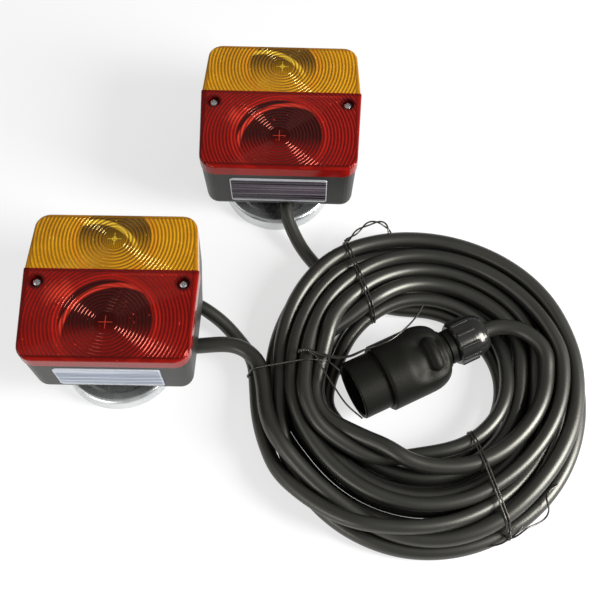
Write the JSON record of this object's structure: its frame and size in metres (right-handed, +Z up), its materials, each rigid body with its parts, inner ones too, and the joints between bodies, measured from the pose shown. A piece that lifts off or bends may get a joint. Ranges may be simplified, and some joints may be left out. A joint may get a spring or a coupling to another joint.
{
  "type": "magnetic towing light set",
  "caption": "Two magnetic rear lamps with amber and red fluted lenses, joined by a link lead and wired to a round trailer plug through a tied coil of black lead.",
  "frame": {"origin": "on the surface that the set stands on, in the middle of the two lamps' bounding box", "axes": "+Z up out of the lamps' faces, +Y towards the amber lenses, +X to the right as seen from above"},
  "size_m": [0.3453, 0.3241, 0.0715],
  "materials": {
    "housing_plastic": "moulded, slightly glossy black",
    "seal_rubber": "matt",
    "amber_plastic": "clear amber, fluted inside",
    "red_plastic": "clear red, fluted inside",
    "clear_plastic": "clear, fluted outside",
    "bright_tray": "vacuum-metallised plastic",
    "bulb_glass": "clear glass with a plated cap",
    "zinc_plate": "zinc plated",
    "bolt_steel": "bright",
    "ferrite": "ground dark ceramic",
    "block_plastic": "natural",
    "lead_rubber": "satin black sheath",
    "plug_plastic": "fine grained, satin",
    "contact_brass": "bright",
    "tie_wire": "soft twisted wire"
  },
  "bodies": {
    "root": {"left_housing": "housing_plastic", "left_lens_seal": "seal_rubber", "left_amber_lens": "amber_plastic", "left_red_lens": "red_plastic", "left_plate_window": "clear_plastic", "left_reflector": "bright_tray", "left_indicator_bulb": "bulb_glass", "left_tail_bulb": "bulb_glass", "left_bulb_sockets": "zinc_plate", "left_terminal_block": "block_plastic", "left_lens_screws": "bolt_steel", "left_grommets": "seal_rubber", "left_magnet_cup": "zinc_plate", "left_magnet_ring": "ferrite", "left_foot_spacer": "housing_plastic", "left_foot_bolt": "bolt_steel", "left_foot_washer": "zinc_plate", "left_foot_nut": "zinc_plate", "upper_housing": "housing_plastic", "upper_lens_seal": "seal_rubber", "upper_amber_lens": "amber_plastic", "upper_red_lens": "red_plastic", "upper_plate_window": "clear_plastic", "upper_reflector": "bright_tray", "upper_indicator_bulb": "bulb_glass", "upper_tail_bulb": "bulb_glass", "upper_bulb_sockets": "zinc_plate", "upper_terminal_block": "block_plastic", "upper_lens_screws": "bolt_steel", "upper_grommets": "seal_rubber", "upper_magnet_cup": "zinc_plate", "upper_magnet_ring": "ferrite", "upper_foot_spacer": "housing_plastic", "upper_foot_bolt": "bolt_steel", "upper_foot_washer": "zinc_plate", "upper_foot_nut": "zinc_plate", "main_lead_lamp_end": "lead_rubber", "main_lead_plug_end": "lead_rubber", "link_lead_left_end": "lead_rubber", "link_lead_upper_end": "lead_rubber", "cable_coil": "lead_rubber", "plug_body": "plug_plastic", "plug_sleeve": "plug_plastic", "contact_carrier": "plug_plastic", "plug_contacts": "contact_brass", "gland_seal": "seal_rubber", "gland_nut": "plug_plastic", "tie_top": "tie_wire", "tie_left": "tie_wire", "tie_front": "tie_wire"}
  },
  "joints": []
}
